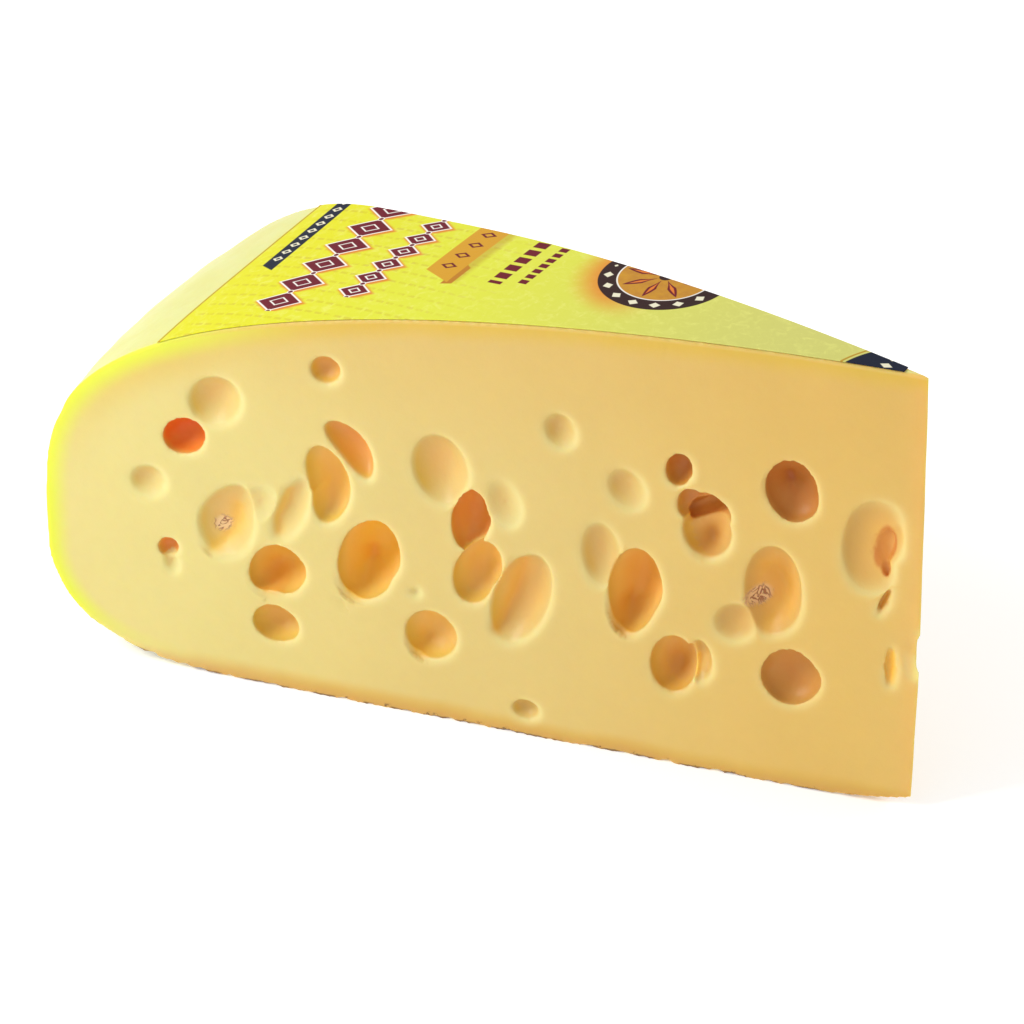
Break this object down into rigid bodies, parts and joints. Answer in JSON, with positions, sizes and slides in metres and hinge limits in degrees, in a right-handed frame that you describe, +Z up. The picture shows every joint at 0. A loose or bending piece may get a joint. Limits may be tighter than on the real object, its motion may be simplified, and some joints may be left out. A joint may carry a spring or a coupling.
{
  "type": "cheese wedge",
  "caption": "Long slim wedge of pale yellow large-eyed hard cheese cut from a wheel, with rounded rind heel, open eyes on both cut faces and a thin paper label on its crown.",
  "frame": {"origin": "on the base, under the middle of the wedge's length and width", "axes": "+X towards the thin tip, +Y towards the far cut face, +Z up; the other cut face, with the measured eyes, is on the -Y side"},
  "size_m": [0.3816, 0.1386, 0.2091],
  "materials": {
    "cheese": "satin",
    "label_paper": "satin"
  },
  "bodies": {
    "root": {"cheese_wedge": "cheese", "top_label": "label_paper"}
  },
  "joints": []
}
